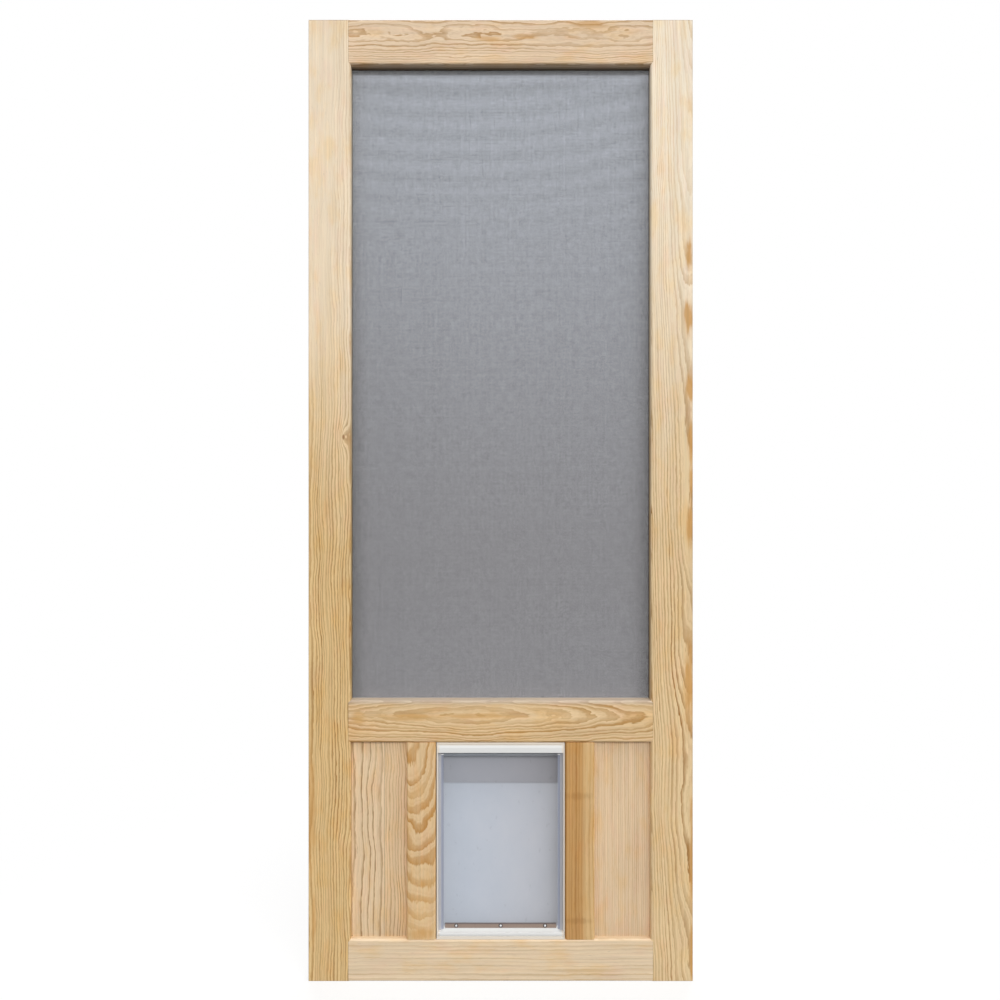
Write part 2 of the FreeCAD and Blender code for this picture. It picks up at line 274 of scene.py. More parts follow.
# Magnet strip of the flap and its rivets: a washer's rim has shares of its radius and height
MAGNET_BROWN = (146, 128, 116)
MAGNET_LINE = (108, 98, 95)
MAGNET_EDGE = 0.0012
MAGNET_ROUGHNESS = 0.55
MAGNET_SKIN = 0.2
SPECKLE_RATES = (260.0, 260.0, 420.0)
SPECKLE_TONE = 0.25
RIVET_SPREAD = 0.0945
RIVET_RADIUS = 0.0024
RIVET_HEIGHT = 0.0013
WASHER_RADIUS = 0.0044
WASHER_HEIGHT = 0.0005
WASHER_RIM = (0.9, 0.6)
ROUND_STEPS = 32
DOME_TURN = 1.45
DOME_STEPS = 8

# Steel and rubber
BRIGHT_STEEL = (206, 206, 208)
DARK_STEEL = (92, 88, 86)
DRAWN_RATES = (60.0, 4000.0, 4000.0)
DRAWN_TONE = 0.3
STEEL_ROUGHNESS = (0.2, 0.32)
SPLINE_BLACK = (40, 40, 41)
SPLINE_RATES = (40.0, 40.0, 40.0)
SPLINE_TONE = 0.4
SPLINE_ROUGHNESS = 0.7
SPLINE_RIB_RATE = 5200.0
SPLINE_BUMP = (0.5, 0.0003)


def linear(red, green, blue):
    """A linear colour with alpha, from sRGB values of 0 to 255."""
    shares = [value / 255 for value in (red, green, blue)]
    return (*[s / 12.92 if s <= 0.04045 else ((s + 0.055) / 1.055) ** 2.4 for s in shares], 1.0)


class Shader:
    """The nodes of a material or world, added by short calls."""

    def __init__(self, owner):
        self.owner = owner
        owner.use_nodes = True
        self.nodes = owner.node_tree.nodes
        self.links = owner.node_tree.links

    def feed(self, socket, value):
        """Link a socket to another one, or set it to a plain value."""
        if isinstance(value, bpy.types.NodeSocket):
            self.links.new(value, socket)
        else:
            socket.default_value = value

    def add(self, kind, inputs, **settings):
        """A new node with its settings, and with its inputs fed."""
        node = self.nodes.new(kind)
        for name, value in settings.items():
            setattr(node, name, value)
        for name, value in inputs.items():
            self.feed(node.inputs[name], value)
        return node

    def set(self, **inputs):
        """Feed inputs of the material's surface, named with underscores for spaces."""
        surface = self.nodes["Principled BSDF"]
        for name, value in inputs.items():
            self.feed(surface.inputs[name.replace("_", " ")], value)

    def place(self):
        """The point's x, y and z in the CAD frame, at rest."""
        point = self.add("ShaderNodeTexCoord", {}).outputs["Object"]
        return self.add("ShaderNodeSeparateXYZ", {0: point}).outputs

    def math(self, operation, *values):
        """The result of an operation on sockets or numbers."""
        return self.add("ShaderNodeMath", dict(enumerate(values)), operation=operation).outputs[0]

    def scaled(self, value, factor, offset=0.0):
        """The value times a factor, with an offset added."""
        return self.math("MULTIPLY_ADD", value, factor, offset)

    def square(self, value):
        """The value times itself."""
        return self.math("POWER", value, 2.0)

    def distance(self, position, place):
        """How far a position is from a place on the same axis."""
        return self.math("ABSOLUTE", self.math("SUBTRACT", position, place))

    def inset(self, position, low, high):
        """How far a position lies inside the nearer of two ends."""
        return self.math("MINIMUM", self.scaled(position, 1.0, -low), self.scaled(position, -1.0, high))

    def noise(self, x, y, z, detail=SOFT_DETAIL, roughness=EVEN_ROUGHNESS):
        """Soft noise about zero, at coordinates that are scaled already."""
        point = self.add("ShaderNodeCombineXYZ", {0: x, 1: y, 2: z}).outputs[0]
        inputs = {"Vector": point, "Scale": 1.0, "Detail": detail, "Roughness": roughness}
        return self.math("SUBTRACT", self.add("ShaderNodeTexNoise", inputs).outputs[0], NOISE_MIDDLE)

    def field(self, place, rates, detail=SOFT_DETAIL, roughness=EVEN_ROUGHNESS):
        """Soft noise about zero, with a rate for each axis."""
        return self.noise(*map(self.scaled, place, rates), detail, roughness)

    def grain(self, place, rates, detail=SOFT_DETAIL):
        """Soft noise about zero, with one rate along a board and one rate across and through it."""
        along_rate, cross_rate = rates
        return self.field(place, (along_rate, cross_rate, cross_rate), detail)

    def face_noise(self, along, across, rates, seed, detail=SOFT_DETAIL, roughness=EVEN_ROUGHNESS):
        """Soft noise about zero over a board's face, the same all through its thickness."""
        return self.noise(*map(self.scaled, (along, across), rates), seed, detail, roughness)

    def ease(self, value, start, end, low=0.0, high=1.0):
        """A smooth step from low to high as the value goes from start to end."""
        inputs = {"Value": value, "From Min": start, "From Max": end, "To Min": low, "To Max": high}
        return self.add("ShaderNodeMapRange", inputs, interpolation_type="SMOOTHSTEP").outputs["Result"]

    def chance(self, number):
        """A random value from 0 to 1 for each whole number."""
        return self.add("ShaderNodeTexWhiteNoise", {"W": number}, noise_dimensions="1D").outputs[0]

    def mix(self, share, first, second, blend="MIX"):
        """The first colour, or to the share given the second or their blend."""
        inputs = {MIX_SHARE: share, MIX_FIRST: first, MIX_SECOND: second}
        node = self.add("ShaderNodeMix", inputs, data_type="RGBA", blend_type=blend)
        return node.outputs[MIX_RESULT]

    def tint(self, colour, share, tone):
        """The colour multiplied by a tone, to the share given."""
        return self.mix(share, colour, tone, "MULTIPLY")

    def shade(self, colour, factor):
        """The colour with its lightness multiplied."""
        base = colour[:3] if isinstance(colour, tuple) else colour
        scale = self.add("ShaderNodeVectorMath", {0: base}, operation="SCALE")
        self.feed(scale.inputs["Scale"], factor)
        return scale.outputs[0]

    def bump(self, height, strength, distance):
        """Relief of the material's surface."""
        inputs = {"Height": height, "Strength": strength, "Distance": distance}
        self.set(Normal=self.add("ShaderNodeBump", inputs).outputs[0])

    def seen(self):
        """1 for rays that show the surface to the camera, a mirror or glass, and else 0."""
        path = self.add("ShaderNodeLightPath", {}).outputs
        direct = self.math("MAXIMUM", path["Is Camera Ray"], path["Is Glossy Ray"])
        return self.math("MAXIMUM", direct, path["Is Transmission Ray"])


def new_material(name):
    """The shader of a new material."""
    return Shader(bpy.data.materials.new(name))


@dataclass
class Board:
    """How a board was sawn from its log, with its colours in sRGB.

    pith is the place of the log's middle, across and through the board. drift is how far that
    place moves for each metre of length, and bow is where along the board the log comes nearest
    to the face and how fast it bends away. Early wood is the pale part of a growth ring and late
    wood the dark part. The far colours are those of the top or right-hand end, and lean is how far
    they come down the board for each metre across it, and where they keep their place. clear is
    where the far end goes from plain to ringed, across the board. A knot has its place along and
    across and its size, and a patch has its place, half length and half width. A board of two
    staves has a second pith and ring beyond the joint between them. reveal is an inner edge beside
    the screen, with painted shade in its deep part, painted_light_edges are places across the board
    with painted light beside them, ends are a foot with painted shade and a top with painted light,
    and ledge is an edge that is greyer.
    """

    upright: bool
    pith: tuple
    early: tuple
    late: tuple
    drift: tuple = (0.0, 0.0)
    bow: tuple = (0.0, 0.0)
    ring: float = 0.0065
    sway: float = 0.004
    sway_rate: float = 2.5
    wobble: float = 0.0022
    wobble_rate: float = 15.0
    far_early: tuple = None
    far_late: tuple = None
    fade: tuple = (0.0, 1.0)
    fade_across: bool = False
    lean: tuple = (0.0, 0.0)
    late_start: float = 0.4
    clear: tuple = None
    knots: tuple = ()
    patches: tuple = ()
    patch_colour: tuple = (206, 156, 92)
    patch_share: float = 0.8
    stave_joint: float = None
    second_pith: tuple = None
    second_ring: float = None
    joint_lines: tuple = ()
    reveal: float = None
    painted_light_edges: tuple = ()
    ends: tuple = None
    ledge: float = None


def stave_value(shader, share, first, second):
    """A value for the first stave, or one that changes to another at the joint between staves."""
    return first if second is None else shader.scaled(share, second - first, first)


def oval_field(shader, along, across, centre, half_length, half_width, ragged=None):
    """1 in the middle of an oval, falling away outside it."""
    down = shader.scaled(along, 1 / half_length, -centre[0] / half_length)
    over = shader.scaled(across, 1 / half_width, -centre[1] / half_width)
    square = shader.math("ADD", shader.square(down), shader.square(over))
    if ragged is not None:
        square = shader.math("ADD", square, ragged)
    return shader.math("EXPONENT", shader.math("MULTIPLY", square, -1.0))


def knot_field(shader, along, across, knot, spread=1.0):
    """How strongly a knot is felt at a point."""
    knot_along, knot_across, size = knot
    reach = size * spread
    return oval_field(shader, along, across, (knot_along, knot_across), KNOT_STRETCH * reach, reach)


def ring_count(shader, board, along, across, through):
    """How many growth rings lie between the log's middle and a point."""
    share = None
    if board.stave_joint is not None:
        share = shader.math("GREATER_THAN", across, board.stave_joint)
    second_pith = board.second_pith or (None, None)
    pith = [stave_value(shader, share, a, b) for a, b in zip(board.pith, second_pith)]
    second_density = 1 / board.second_ring if board.second_ring else None
    density = stave_value(shader, share, 1 / board.ring, second_density)

    sway_rates = (board.sway_rate, SWAY_CROSS_RATE)
    wobble_rates = (board.wobble_rate, WOBBLE_CROSS_RATE)
    bow_along, bow_rate = board.bow
    bend = shader.square(shader.math("SUBTRACT", along, bow_along))
    squares = []
    for position, middle, drift, bowing, seed in (
        (across, pith[0], board.drift[0], 0.0, ACROSS_SEED),
        (through, pith[1], board.drift[1], bow_rate, THROUGH_SEED),
    ):
        sway = shader.face_noise(along, across, sway_rates, seed, COARSE_DETAIL)
        wobble = shader.face_noise(
            along, across, wobble_rates, seed + WOBBLE_SEED_STEP, FINE_DETAIL, WOBBLE_ROUGHNESS
        )
        offset = shader.math("SUBTRACT", position, middle)
        offset = shader.math("MULTIPLY_ADD", along, -drift, offset)
        offset = shader.math("MULTIPLY_ADD", bend, -bowing, offset)
        offset = shader.math("MULTIPLY_ADD", sway, FULL_SWING * board.sway, offset)
        offset = shader.math("MULTIPLY_ADD", wobble, FULL_SWING * board.wobble, offset)
        squares.append(shader.square(offset))
    radius = shader.math("SQRT", shader.math("ADD", *squares))
    count = shader.math("MULTIPLY", radius, density)
    seeds = [UNEVEN_SEED_RATE * place for place in board.pith]
    uneven = shader.noise(shader.scaled(count, UNEVEN_RING_RATE), *seeds)
    count = shader.math("MULTIPLY_ADD", uneven, UNEVEN_DEPTH, count)
    for knot in board.knots:
        pull = knot_field(shader, along, across, knot, KNOT_SPREAD)
        count = shader.math("MULTIPLY_ADD", pull, KNOT_PULL, count)
    return count


def late_wood(shader, count, start):
    """The share of late wood in a ring: it builds up slowly and ends at a sharp edge."""
    part = shader.math("FRACT", count)
    return shader.math("SUBTRACT", shader.ease(part, start, LATE_FULL), shader.ease(part, *LATE_END))


def growth_rings(shader, board, along, across, through):
    """The share of late wood at a point, uneven from ring to ring and along the board."""
    place = (along, across, through)
    count = ring_count(shader, board, *place)
    count = shader.math("MULTIPLY_ADD", shader.grain(place, RAGGED_RATES), RAGGED_DEPTH, count)
    own = shader.chance(shader.math("FLOOR", count))
    patchy = shader.ease(shader.grain(place, PATCHY_RATES), *PATCHY_LEVELS)
    strength = shader.math("MULTIPLY", shader.scaled(own, *RING_STRENGTH), patchy)
    main = shader.math("MULTIPLY", late_wood(shader, count, board.late_start), strength)
    thin = late_wood(shader, shader.scaled(count, THIN_RINGS), THIN_START)
    return shader.math("MULTIPLY_ADD", thin, THIN_DEPTH, main)


def grain_tone(shader, along, across, through):
    """Lightness from streaks, fibres, clouds and resin flecks, and the fibres by themselves."""
    place = (along, across, through)
    fibre = shader.grain(place, FIBRE_RATES, FINE_DETAIL)
    light = shader.scaled(shader.grain(place, STREAK_RATES), STREAK_DEPTH, 1.0)
    light = shader.math("MULTIPLY_ADD", fibre, FIBRE_DEPTH, light)
    light = shader.math("MULTIPLY_ADD", shader.grain(place, CLOUD_RATES), CLOUD_DEPTH, light)
    fleck = shader.ease(shader.grain(place, FLECK_RATES, COARSE_DETAIL), *FLECK_LEVELS)
    return shader.math("SUBTRACT", light, fleck), fibre


def dark_line(shader, light, position, place, line_light):
    """The lightness with a hairline across it."""
    distance = shader.distance(position, place)
    line = shader.ease(distance, JOINT_CORE * JOINT_LINE, JOINT_LINE, line_light, 1.0)
    return shader.math("MULTIPLY", light, line)


def painted_reveal_shade(shader, light, across, through, edge):
    """The lightness with painted shade deep in the board's inner edge beside the screen."""
    near = shader.ease(shader.distance(across, edge), REVEAL_BAND / 2, REVEAL_BAND, 1.0, 0.0)
    depth = shader.ease(through, -REVEAL_DEPTH, REVEAL_DEPTH)
    share = shader.math("MULTIPLY", near, depth)
    return shader.math("MULTIPLY", light, shader.scaled(share, -PAINTED_REVEAL_SHADE, 1.0))


def painted_edge_shade(shader, light, position, place, shade):
    """Painted shade near a place: less light by its depth there, and as before beyond its reach."""
    depth, reach = shade
    # A negative depth paints light in place of shade
    nearness = shader.math("EXPONENT", shader.scaled(shader.distance(position, place), -1 / reach))
    return shader.math("MULTIPLY", light, shader.scaled(nearness, -depth, 1.0))


def darker_outer_edge(shader, light, x, z):
    """The lightness, a little less at the door's outer edges."""
    low, high = CAD_BOX
    inset = shader.math("MINIMUM", shader.inset(x, low.x, high.x), shader.inset(z, low.z, high.z))
    return shader.math("MULTIPLY", light, shader.ease(inset, 0.0, OUTER_EDGE_BAND, OUTER_EDGE_LIGHT, 1.0))


def ring_colour(shader, board, along, across, late):
    """The colour of the rings, which may change along or across the board, and their late wood."""
    early_colour = linear(*board.early)
    late_colour = linear(*board.late)
    if board.far_early:
        reach = across
        if not board.fade_across:
            waver = shader.face_noise(along, across, WAVER_RATES, WAVER_SEED)
            reach = shader.math("MULTIPLY_ADD", waver, WAVER_REACH, along)
        slope, level = board.lean
        reach = shader.math("ADD", reach, shader.scaled(across, slope, -slope * level))
        far = shader.ease(reach, *board.fade)
        early_colour = shader.mix(far, early_colour, linear(*board.far_early))
        late_colour = shader.mix(far, late_colour, linear(*board.far_late))
        if board.clear:
            plain = shader.math("MULTIPLY", far, shader.ease(across, *board.clear, CLEAR_SHARE, 0.0))
            late = shader.math("MULTIPLY", late, shader.scaled(plain, -1.0, 1.0))
    return shader.mix(late, early_colour, late_colour), late


def board_colour(shader, board, along, across, colour):
    """The colour of the rings with tints, patches, knots and a greyer ledge over it."""
    for tone, seed in TINT_SEEDS:
        blotch = shader.face_noise(along, across, TINT_RATES, seed, FINE_DETAIL)
        colour = shader.tint(colour, shader.ease(blotch, *TINT_LEVELS), tone)
    if board.patches:
        ragged = shader.face_noise(along, across, PATCH_RATES, PATCH_SEED, FINE_DETAIL)
        ragged = shader.scaled(ragged, PATCH_RAGGED)
    for centre, half_length, half_width in board.patches:
        oval = oval_field(shader, along, across, centre, half_length, half_width, ragged)
        share = shader.ease(oval, *PATCH_LEVELS, 0.0, board.patch_share)
        colour = shader.mix(share, colour, linear(*board.patch_colour))
    for knot in board.knots:
        core = shader.ease(knot_field(shader, along, across, knot), *KNOT_LEVELS, 0.0, KNOT_SHARE)
        colour = shader.mix(core, colour, linear(*KNOT_COLOUR))
    # A greyer edge along the lock rail's ledge
    if board.ledge is not None:
        grey_ledge = shader.ease(across, board.ledge - LEDGE_GREY_REACH, board.ledge, 0.0, LEDGE_GREY_SHARE)
        colour = shader.mix(grey_ledge, colour, linear(*LEDGE_GREY))
    return colour


def board_light(shader, board, along, across, through, light):
    """The lightness of the grain with joint lines, and painted shade and light at reveals and edges."""
    for place in board.joint_lines:
        light = dark_line(shader, light, along, place, RAIL_JOINT_LIGHT)
    if board.stave_joint is not None:
        light = dark_line(shader, light, across, board.stave_joint, STAVE_JOINT_LIGHT)
    # Painted shade in the deep part of the reveal beside the screen
    if board.reveal is not None:
        light = painted_reveal_shade(shader, light, across, through, board.reveal)
    # Painted light beside these edges
    for place in board.painted_light_edges:
        light = painted_edge_shade(shader, light, across, place, PAINTED_EDGE_LIGHT)
    # Painted shade at the panel's foot and painted light at its top
    if board.ends:
        foot, top = board.ends
        light = painted_edge_shade(shader, light, along, foot, PAINTED_FOOT_SHADE)
        light = painted_edge_shade(shader, light, along, top, PAINTED_EDGE_LIGHT)
    return light


def pine(name, board):
    """Planed, unfinished pine: growth rings, fibres, resin flecks, patches, knots and joint lines."""
    shader = new_material(name)
    x, through, z = shader.place()
    along, across = (z, x) if board.upright else (x, z)
    late = growth_rings(shader, board, along, across, through)
    colour, late = ring_colour(shader, board, along, across, late)
    colour = board_colour(shader, board, along, across, colour)
    light, fibre = grain_tone(shader, along, across, through)
    light = board_light(shader, board, along, across, through, light)
    # A little darker at the door's outer edges
    light = darker_outer_edge(shader, light, x, z)
    shader.set(Base_Color=shader.shade(colour, light))
    shader.set(Roughness=shader.scaled(fibre, *PINE_ROUGHNESS), Specular_IOR_Level=PINE_SPECULAR)
    shader.bump(shader.math("MULTIPLY_ADD", late, RING_RELIEF, fibre), *PINE_BUMP)
    return shader.owner


def boards():
    """Every board of the door, by node."""
    left_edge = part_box("left_stile")[1].x
    right_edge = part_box("right_stile")[0].x
    rail_ends = (left_edge - STICKING, right_edge + STICKING)
    panel_ends = (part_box("bottom_rail")[1].z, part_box("lock_rail")[0].z)
    return {
        # The stiles' paler tops are partly the wood's own colour and partly painted light from above
        "left_stile": Board(
            upright=True, pith=(-0.10, 0.05), early=(229, 198, 145), late=(154, 107, 44),
            far_early=(243, 225, 198), far_late=(212, 184, 146), fade=(0.82, 1.58), lean=(1.8, 0.07),
            clear=(0.045, 0.075), ring=0.0054, late_start=0.35, sway=0.012, sway_rate=4.5, wobble=0.004,
            knots=((1.150, 0.074, 0.007),), reveal=left_edge, patch_share=0.6,
            patches=(((0.36, 0.004), 0.14, 0.013), ((0.13, 0.012), 0.05, 0.004)),
        ),
        "right_stile": Board(
            upright=True, pith=(0.812, 0.1057), early=(233, 206, 161), late=(158, 109, 50),
            far_early=(250, 236, 213), far_late=(224, 198, 158), fade=(0.8, 1.8), drift=(0.0, -0.02),
            ring=0.0030, late_start=0.45, sway=0.006, sway_rate=4.5, wobble=0.0014, reveal=right_edge,
            patch_share=0.9,
            patches=(
                ((1.540, 0.805), 0.034, 0.008), ((1.405, 0.803), 0.036, 0.010),
                ((1.254, 0.806), 0.030, 0.009), ((1.139, 0.808), 0.040, 0.007),
                ((1.060, 0.810), 0.040, 0.006), ((0.958, 0.807), 0.048, 0.008),
                ((0.630, 0.806), 0.100, 0.011),
                ((0.27, 0.811), 0.12, 0.005), ((0.06, 0.811), 0.08, 0.005),
            ),
        ),
        "top_rail": Board(
            upright=False, pith=(2.003, 0.034), early=(235, 210, 179), late=(191, 152, 106), ring=0.0034,
            late_start=0.4, sway=0.006, sway_rate=7.0, wobble=0.0045, wobble_rate=14.0,
            joint_lines=rail_ends, reveal=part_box("top_rail")[0].z, patch_share=0.6,
            patches=(
                ((0.382, 1.992), 0.03, 0.006), ((0.458, 1.997), 0.03, 0.006),
                ((0.596, 2.021), 0.035, 0.008),
            ),
        ),
        "lock_rail": Board(
            upright=False, pith=(0.562, 0.0267), early=(230, 201, 158), late=(187, 146, 91),
            bow=(0.31, 0.10), ring=0.0036, late_start=0.15, sway=0.005, sway_rate=5.0, wobble=0.004,
            wobble_rate=16.0, joint_lines=rail_ends, ledge=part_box("lock_rail")[1].z,
            patch_colour=(212, 165, 100), patch_share=0.65,
            patches=(
                ((0.106, 0.556), 0.014, 0.016), ((0.21, 0.558), 0.06, 0.008),
                ((0.36, 0.560), 0.09, 0.006),
            ),
        ),
        "bottom_rail": Board(
            upright=False, pith=(-0.08, 0.06), early=(231, 209, 178), late=(211, 184, 146), ring=0.0075,
            wobble=0.003, joint_lines=rail_ends,
        ),
        "left_panel": Board(
            upright=True, pith=(0.04, 0.05), early=(230, 204, 168), late=(160, 126, 86),
            far_early=(228, 199, 160), far_late=(158, 117, 72), fade=(0.1590, 0.1594), fade_across=True,
            ring=0.0125, late_start=0.62, sway=0.016, sway_rate=6.0, wobble=0.003, stave_joint=0.1592,
            second_pith=(0.02, 0.03), second_ring=0.0066, ends=panel_ends,
            painted_light_edges=(left_edge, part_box("left_mullion")[0].x),
        ),
        "right_panel": Board(
            upright=True, pith=(0.40, 0.05), early=(229, 203, 168), late=(203, 168, 129), ring=0.0040,
            sway=0.005, wobble=0.0016, ends=panel_ends, painted_light_edges=(right_edge,),
        ),
        "left_mullion": Board(
            upright=True, pith=(0.261, -0.1943), early=(224, 193, 148), late=(206, 162, 106),
            far_early=(225, 194, 150), far_late=(190, 141, 80), fade=(0.12, 0.30), drift=(-0.088, 0.3),
            ring=0.012, late_start=0.3, sway=0.012, sway_rate=8.0, wobble=0.007, wobble_rate=20.0,
            patches=(((0.098, 0.238), 0.012, 0.03), ((0.205, 0.241), 0.008, 0.005)), patch_share=0.6,
        ),
        "right_mullion": Board(
            upright=True, pith=(0.40, 0.04), early=(200, 156, 100), late=(172, 122, 64),
            far_early=(219, 184, 133), far_late=(194, 152, 96), fade=(0.576, 0.588), fade_across=True,
            ring=0.0068, late_start=0.5, sway=0.006, wobble=0.002, patch_colour=(150, 104, 54),
            patches=(((0.391, 0.568), 0.008, 0.03), ((0.127, 0.568), 0.007, 0.03)), patch_share=0.3,
        ),
    }


def painted_wave_light(shader, x, z, start, end):
    """Painted light and shade of slack waves near the screen's top, which sag left of its middle."""
    sag = shader.square(shader.math("SUBTRACT", x, WAVE_MIDDLE))
    level = shader.math("MULTIPLY_ADD", sag, -WAVE_RISE, z)
    wave = shader.math("SINE", shader.scaled(level, 2 * math.pi / WAVE_LENGTH))
    return shader.math("MULTIPLY", wave, shader.ease(z, start, end, 0.0, -WAVE_DEPTH))


def strand_light(shader, place):
    """Lightness that differs from strand to strand, and along the threads of each."""
    x, _, z = place
    low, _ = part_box("insect_screen")
    light = 1.0
    for position, start in ((x, low.x), (z, low.z)):
        number = shader.math("FLOOR", shader.scaled(position, 1 / WIRE_PITCH, -start / WIRE_PITCH))
        light = shader.math("MULTIPLY_ADD", shader.chance(number), STRAND_VARIATION, light)
    for rates in THREAD_RATES:
        thread = shader.field(place, rates, FINE_DETAIL)
        light = shader.math("MULTIPLY_ADD", thread, THREAD_DEPTH, light)
    return shader.math("SUBTRACT", light, STRAND_VARIATION)


def screen_material():
    """Vinyl-coated strands, each with its own tone.

    They have painted light that makes them paler and bluer towards the top, painted light and shade
    in slack waves near the top, painted shade at the sides and towards the left, and a painted shadow
    under the top rail with a painted glow just below it.
    """
    shader = new_material("screen_strand")
    place = shader.place()
    x, _, z = place
    low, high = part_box("insect_screen")
    height = high.z - low.z
    fade_start, fade_end = [low.z + level * height for level in SCREEN_PAINTED_LIGHT_LEVELS]
    wave_start, wave_end = [low.z + level * height for level in WAVE_LEVELS]
    cloud = shader.field(place, SCREEN_CLOUD_RATES)
    # Painted light: paler and bluer towards the top
    share = shader.ease(z, fade_start, fade_end)
    share = shader.math("MULTIPLY_ADD", cloud, SCREEN_CLOUD_DEPTH, share)
    colour = shader.mix(share, linear(*SCREEN_SHADED_LOW_COLOUR), linear(*SCREEN_LIT_HIGH_COLOUR))
    light = strand_light(shader, place)
    # Painted light and shade of slack waves
    light = shader.math("ADD", light, painted_wave_light(shader, x, z, wave_start, wave_end))
    # Painted shade at the sides, weaker towards the top
    painted_border = shader.ease(shader.inset(x, low.x, high.x), 0.0, PAINTED_BORDER_REACH, PAINTED_BORDER_SHADE, 0.0)
    painted_border = shader.math("MULTIPLY", painted_border, shader.scaled(share, -PAINTED_BORDER_FADE, 1.0))
    light = shader.math("MULTIPLY", light, shader.scaled(painted_border, -1.0, 1.0))
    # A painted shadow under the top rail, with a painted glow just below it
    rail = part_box("top_rail")[0].z
    for start_drop, end_drop, tone in PAINTED_TOP_TONES:
        step = shader.ease(z, rail - start_drop, rail - end_drop, 1.0, tone)
        light = shader.math("MULTIPLY", light, step)
    # Painted shade towards the left side
    shade_reach, shade = PAINTED_LEFT_SHADE
    light = shader.math("MULTIPLY", light, shader.ease(x, low.x, low.x + shade_reach, shade, 1.0))
    shader.set(Base_Color=shader.shade(colour, light))
    shader.set(Roughness=SCREEN_ROUGHNESS, Specular_IOR_Level=SCREEN_SPECULAR)
    return shader.owner


def plastic(name, roughness, texture=None):
    """The shader of a plastic with soft streaks in its sheen, and a fine skin if it has a texture.

    Its colour is still to be set. The point's place and the streaks come with it.
    """
    shader = new_material(name)
    place = shader.place()
    soft = shader.field(place, SOFT_RATES, FINE_DETAIL)
    shader.set(Roughness=shader.scaled(soft, SOFT_SHEEN, roughness))
    if texture is not None:
        shader.bump(shader.field(place, SKIN_RATES), texture, SKIN_DEPTH)
    return shader, place, soft


def frame_white(shader, place):
    """White plastic, creamier on the outer lip from a painted warm reflection of the wood."""
    x, _, z = place
    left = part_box("pet_frame_left_jamb")[0].x
    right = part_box("pet_frame_right_jamb")[1].x
    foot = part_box("pet_frame_sill")[0].z
    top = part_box("pet_frame_head")[1].z
    inset = shader.math("MINIMUM", shader.inset(x, left, right), shader.inset(z, foot, top))
    # Painted warm reflection of the wood on the lip
    return shader.mix(shader.ease(inset, *LIP_EDGE), linear(*LIP_REFLECTED_WARMTH), linear(*WHITE))


def extrusion_material():
    """The white plastic of the pet frame's head and sill."""
    shader, place, _ = plastic("white_extrusion", WHITE_ROUGHNESS, WHITE_SKIN)
    streak = shader.field(place, EXTRUSION_STREAK_RATES, FINE_DETAIL)
    tone = shader.scaled(streak, EXTRUSION_STREAK, 1.0)
    shader.set(Base_Color=shader.shade(frame_white(shader, place), tone))
    return shader.owner


def jamb_material(side):
    """White plastic with a grey strip along the rib beside the flap."""
    shader, place, _ = plastic(f"{side}_jamb_plastic", WHITE_ROUGHNESS, WHITE_SKIN)
    head_low, head_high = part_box("pet_frame_head")
    inside = head_low.x if side == "left" else head_high.x
    limits = (inside, inside + RIB_EDGE) if side == "left" else (inside, inside - RIB_EDGE)
    rib_noise = shader.field(place, RIB_GREY_RATES)
    grey = shader.shade(linear(*RIB_GREY), shader.scaled(rib_noise, RIB_GREY_TONE, 1.0))
    rib = shader.ease(place["X"], *limits)
    shader.set(Base_Color=shader.mix(rib, frame_white(shader, place), grey))
    return shader.owner


def seal_material():
    """The soft plastic of the flap's side seals."""
    shader, _, soft = plastic("seal_rubber", SEAL_ROUGHNESS, SEAL_SKIN)
    shader.set(Base_Color=shader.shade(linear(*SEAL_BLUE), shader.scaled(soft, SOFT_TONE, 1.0)))
    return shader.owner


def vinyl_material(name, cool, grey, roughness, shades):
    """Soft vinyl sheet: cloudy, scuffed, a little see-through and gently rippled.

    Its colour goes from a cool one on the left to a grey one on the right. It has painted shade along
    its edges and a painted shadow of the pet frame's head across its top.
    """
    shader, place, _ = plastic(name, roughness)
    x, _, z = place
    low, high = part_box("flap_sheet")
    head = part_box("pet_frame_head")[0].z
    edges = {
        "left": (x, low.x),
        "right": (x, high.x),
        "band": (z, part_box("flap_top_band")[0].z),
        "strip": (z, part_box("flap_magnet_strip")[1].z),
        "head": (z, head),
    }
    cloud = shader.field(place, VINYL_CLOUD_RATES, FINE_DETAIL, VINYL_CLOUD_ROUGHNESS)
    scuff = shader.field(place, SCUFF_RATES, FINE_DETAIL)
    light = shader.scaled(cloud, VINYL_CLOUD_DEPTH, 1.0)
    light = shader.math("SUBTRACT", light, shader.ease(scuff, *SCUFF_LEVELS))
    # Painted shade along the flap's edges, beside the jambs, the band, the magnet strip and the head
    for edge, shade in shades.items():
        light = painted_edge_shade(shader, light, *edges[edge], shade)
    # A painted shadow of the pet frame's head across the top of the flap
    shadow_end, shadow_start = [head - drop for drop in HEAD_SHADOW_DROPS]
    light = shader.math("MULTIPLY", light, shader.ease(z, shadow_end, shadow_start, 1.0, HEAD_SHADOW_LIGHT))
    side = shader.ease(shader.math("MULTIPLY_ADD", cloud, VINYL_SIDE_DRIFT, x), low.x, high.x)
    shader.set(Base_Color=shader.shade(shader.mix(side, linear(*cool), linear(*grey)), light))
    shader.bump(shader.field(place, RIPPLE_RATES, COARSE_DETAIL), *RIPPLE_BUMP)
    shader.set(Transmission_Weight=VINYL_TRANSMISSION, IOR=VINYL_IOR)
    return shader.owner


